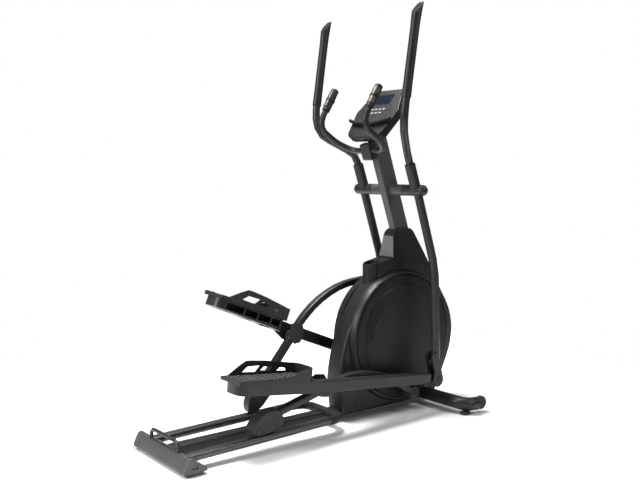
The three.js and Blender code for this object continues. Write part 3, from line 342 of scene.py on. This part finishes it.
# ---------------------------------------------------------------- carried-over nodes
PLAIN_NODES = {
    "frame": ["base_frame", "carry_handle", "front_stabilizer", "fixed_handlebar", "handlebar_clamp"],
    "mast": ["mast"],
    "foot": ["rear_stabilizer"],
    "shell": ["console_shell", "console_face", "console_shelf", "bottle_holder"],
    "panel": ["mast_cover"],
    "screen": ["lcd_screen"],
    "bolt": ["crank_axle", "flywheel", "brake_arm"],
    # The drive pulley and brake motor inside the housing take the near-black painted shade.
    "black_and_painted_shade": ["drive_pulley", "brake_motor"],
    "rubber": ["drive_belt"],
}
PAIRED_NODES = {
    "frame": ["swing_arm", "upper_handle", "pedal_beam", "roller_link"],
    "rail": ["rail"],
    "foot": ["rear_cap"],
    "shell": ["housing"],
    "disc": ["crank_disc"],
    "cap": ["joint_boot", "roller_cover", "pedal"],
    "grip": ["fixed_grip", "handle_grip"],
    "steel": ["pulse_plate"],
    "rubber": ["front_foot", "transport_wheel", "roller"],
}
ROUNDING = {"console_shell": 0.003, "console_face": 0.001, "lcd_screen": 0.0005, "pedal": 0.002,
            "pedal_beam": 0.0025, "joint_boot": 0.0025, "roller_cover": 0.003, "housing": 0.003,
            "handlebar_clamp": 0.003, "mast_cover": 0.004, "rear_cap": 0.002, "roller_link": 0.002}
CREASE = {"housing": 46, "crank_disc": 30, "handle_grip": 30}


def refine_all():
    for look, nodes in PLAIN_NODES.items():
        for node in nodes:
            refine(node, look, ROUNDING.get(node, 0.0015), CREASE.get(node, 38))
    for look, stems in PAIRED_NODES.items():
        for stem in stems:
            for side in SIDES:
                refine(f"{stem}_{side}", look, ROUNDING.get(stem, 0.0015), CREASE.get(stem, 38))
    for node in BODY_OF:
        if node.startswith("key_"):
            refine(node, "key", 0.0008)


# ---------------------------------------------------------------- details
def detail_discs():
    for side, way in SIDES.items():
        low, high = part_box(f"crank_disc_{side}")
        face_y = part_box(f"housing_{side}")[1 if way > 0 else 0].y
        centre = PIVOT["crank_turn"].copy()
        radius = (high.x - low.x) / 2
        centre.y = face_y + way * 0.0058
        for i, (share, start, end) in enumerate([(0.8, 118, 186), (0.74, 120, 184), (0.68, 126, 178)]):
            strand(f"disc_rib_{side}_{i + 1}", arc_points(centre, radius * share, start, end),
                   0.0024, "crank", "disc")


# Screws of each housing shell: metres ahead of the crank axle, and height above the floor.
HOUSING_SCREWS = [
    (-0.272, 0.30), (-0.285, 0.16), (0.058, 0.715), (0.273, 0.20), (-0.257, 0.06), (-0.017, 0.05),
    (0.183, 0.05),
]
NECK_HEIGHT = 0.68  # above this the housing narrows to its neck
BODY_FACE_Y = 0.05
NECK_FACE_Y = 0.037


def detail_housing():
    for side, way in SIDES.items():
        outward = ALONG_Y * way
        for i, (ahead, height) in enumerate(HOUSING_SCREWS):
            flat_y = BODY_FACE_Y if height < NECK_HEIGHT else NECK_FACE_Y
            place = Vector((PIVOT["crank_turn"].x + ahead, way * (flat_y - 0.0002), height))
            # The screw heads take the near-black painted shade of their holes.
            bolt(f"housing_screw_{side}_{i + 1}", place, outward, 0.0042, "base", "black_and_painted_shade")


BEAM_LENGTH = 0.603  # from the arm's joint to the link's pivot, along the beam
BEAM_DROP = 0.025  # the link's pivot lies this far under the beam's middle line


def beam_frame(side):
    """From a beam's own axes, its pivot at the origin and the beam along -X, to the world."""
    joint = PIVOT[f"{side}_beam_pivot"]
    knuckle = PIVOT[f"{side}_link_pivot"]
    lean = math.atan2(knuckle.z - joint.z, joint.x - knuckle.x) + math.atan2(BEAM_DROP, BEAM_LENGTH)
    return Matrix.Translation((joint.x, 0, joint.z)) @ Matrix.Rotation(lean, 4, "Y")


# The tread, in the beam's own axes: where it lies, how many bars it has and what each one measures.
TREAD_REAR, TREAD_FRONT = -1.012, -0.728
TREAD_INNER, TREAD_OUTER = 0.075, 0.182
TREAD_FLOOR = 0.036
TREAD_ROWS, TREAD_COLUMNS = 14, 5
TREAD_PITCH = 0.024
TREAD_STAGGER = 0.45  # of a pitch, in every other row
TREAD_LEAN = math.radians(22)
TREAD_BAR = (0.006, 0.017, 0.0022)


def detail_tread():
    """Rows of raised bars on each footplate's floor."""
    for side, way in SIDES.items():
        work = bmesh.new()
        for row in range(TREAD_ROWS):
            odd = row % 2
            along = TREAD_REAR + (TREAD_FRONT - TREAD_REAR) * row / (TREAD_ROWS - 1)
            turn = Matrix.Rotation(TREAD_LEAN if odd else -TREAD_LEAN, 4, "Z")
            for column in range(TREAD_COLUMNS):
                across = TREAD_INNER + TREAD_PITCH * (column + TREAD_STAGGER * odd)
                if across > TREAD_OUTER:
                    continue
                made = bmesh.ops.create_cube(work, size=1)["verts"]
                size = Matrix.Diagonal((*TREAD_BAR, 1))
                place = Matrix.Translation((along, way * across, TREAD_FLOOR + 0.0007))
                bmesh.ops.transform(work, matrix=place @ turn @ size, verts=made)
        bmesh.ops.transform(work, matrix=beam_frame(side), verts=work.verts)
        mesh = bpy.data.meshes.new(f"tread_{side}")
        work.to_mesh(mesh)
        work.free()
        piece = place_piece(f"tread_{side}", mesh, f"beam_{side}", "tread")
        bevel = piece.modifiers.new("softened_edges", "BEVEL")
        bevel.width = 0.0006
        bevel.segments = 2


# The space that holds the pockets of a tray's inner side, in the beam's own axes, where the faces take
# painted shade.
POCKETS_ALONG = (-0.991, -0.721)
POCKETS_ACROSS = (0.0785, 0.1005)
POCKETS_UP = (-0.0095, 0.0175)


def shade_pockets():
    """The faces inside the pockets of each tray's inner side take the near-black painted shade."""
    for side, way in SIDES.items():
        piece = bpy.data.objects[f"pedal_beam_{side}_look"]
        piece.data.materials.append(LOOKS["black_and_painted_shade"])
        to_beam = beam_frame(side).inverted()
        for face in piece.data.polygons:
            place = to_beam @ face.center
            spans = [(place.x, POCKETS_ALONG), (way * place.y, POCKETS_ACROSS), (place.z, POCKETS_UP)]
            if all(low < value < high for value, (low, high) in spans):
                face.material_index = 1


# Faces of the upper grips' slanted ends, which take painted shade:
GRIP_END_HEIGHT = 0.08  # the slanted cut lies within this of the grip's top
GRIP_END_TILT = 0.4  # and its faces point at least this far up


def shade_grip_ends():
    """The slanted ends of the upper grips take the near-black painted shade, which is also rougher than the
    grip.
    """
    for side in SIDES:
        piece = bpy.data.objects[f"handle_grip_{side}_look"]
        piece.data.materials.append(LOOKS["black_and_painted_shade"])
        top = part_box(f"handle_grip_{side}")[1].z
        for face in piece.data.polygons:
            if face.center.z > top - GRIP_END_HEIGHT and face.normal.z > GRIP_END_TILT:
                face.material_index = 1


BOSS_RADIUS = 0.026  # of the roller link's front boss
CRANK_THROW = 0.238


def detail_pivots():
    for side, way in SIDES.items():
        outward = ALONG_Y * way
        arm_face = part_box(f"joint_boot_{side}")[1 if way > 0 else 0].y
        joint = PIVOT[f"{side}_beam_pivot"].copy()
        joint.y = arm_face - way * 0.0002
        lathe(f"joint_cap_{side}", [
            (0, 0.0022), (0.0135, 0.0022), (0.015, 0.0008), (0.015, -0.001), (0, -0.001),
        ], joint, outward, f"arm_{side}", "cap")
        bolt(f"joint_bolt_{side}", joint + outward * 0.0022, outward, 0.0065, f"arm_{side}")
        roller = PIVOT[f"{side}_roller_spin"].copy()
        low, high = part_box(f"roller_cover_{side}")
        for name, y, facing in [("outer", high.y if way > 0 else low.y, outward),
                                ("inner", low.y if way > 0 else high.y, -outward)]:
            roller.y = y
            lathe(f"cover_ring_{name}_{side}", [
                (0, -0.0012), (0.0125, -0.0012), (0.0135, 0.0012), (0.0155, 0.0012), (0.0165, -0.001),
                (0, -0.001),
            ], roller, facing, f"link_{side}", "cap")
            bolt(f"cover_bolt_{name}_{side}", roller, facing, 0.007, f"link_{side}")
        low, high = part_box(f"roller_link_{side}")
        face_y = high.y if way > 0 else low.y
        pin = Vector((high.x - BOSS_RADIUS, face_y - way * 0.0005, PIVOT["crank_turn"].z + way * CRANK_THROW))
        bolt(f"crank_pin_bolt_{side}", pin, outward, 0.012, f"link_{side}")


def detail_grips():
    slope = Vector((41, 0, 69)).normalized()
    for side in SIDES:
        low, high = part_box(f"fixed_grip_{side}")
        middle = (Vector(low) + Vector(high)) / 2
        lathe(f"pulse_band_{side}", [
            (0.0168, -0.0055), (0.0194, -0.0055), (0.0198, -0.003), (0.0198, 0.003), (0.0194, 0.0055),
            (0.0168, 0.0055), (0.0168, -0.0055),
        ], middle + slope * 0.001, slope, "base", "grip")


def detail_console():
    press = Vector(JOINTS["key_1_press"]["axis"])
    normal = -press.normalized()
    across = ALONG_Y
    upward = across.cross(normal)
    if upward.z < 0:
        upward = -upward
    low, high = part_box("lcd_screen")
    middle = (Vector(low) + Vector(high)) / 2
    corners = [(-1, -1), (1, -1), (1, 1), (-1, 1), (-1, -1)]
    for name, half_wide, half_high, radius, look in [
        ("bezel", 0.0535, 0.0265, 0.0012, "black_and_painted_shade"), ("line", 0.062, 0.036, 0.0007, "cap"),
    ]:
        plane = middle + normal * 0.0022
        points = [plane + across * half_wide * a + upward * half_high * b for a, b in corners]
        strand(f"screen_{name}", points, radius, "base", look)
    # The three grooves under the screen are dark strands of painted shade.
    for i in range(3):
        groove = middle - upward * (0.155 + 0.006 * i) + normal * 0.0012
        points = [groove + across * end for end in (-0.03, 0.03)]
        strand(f"console_groove_{i + 1}", points, 0.0011, "base", "black_and_painted_shade")


LOOKS = make_looks()
add_camera()
add_studio()
add_floor()
refine_all()
detail_discs()
detail_housing()
detail_tread()
shade_pockets()
shade_grip_ends()
detail_pivots()
detail_grips()
detail_console()
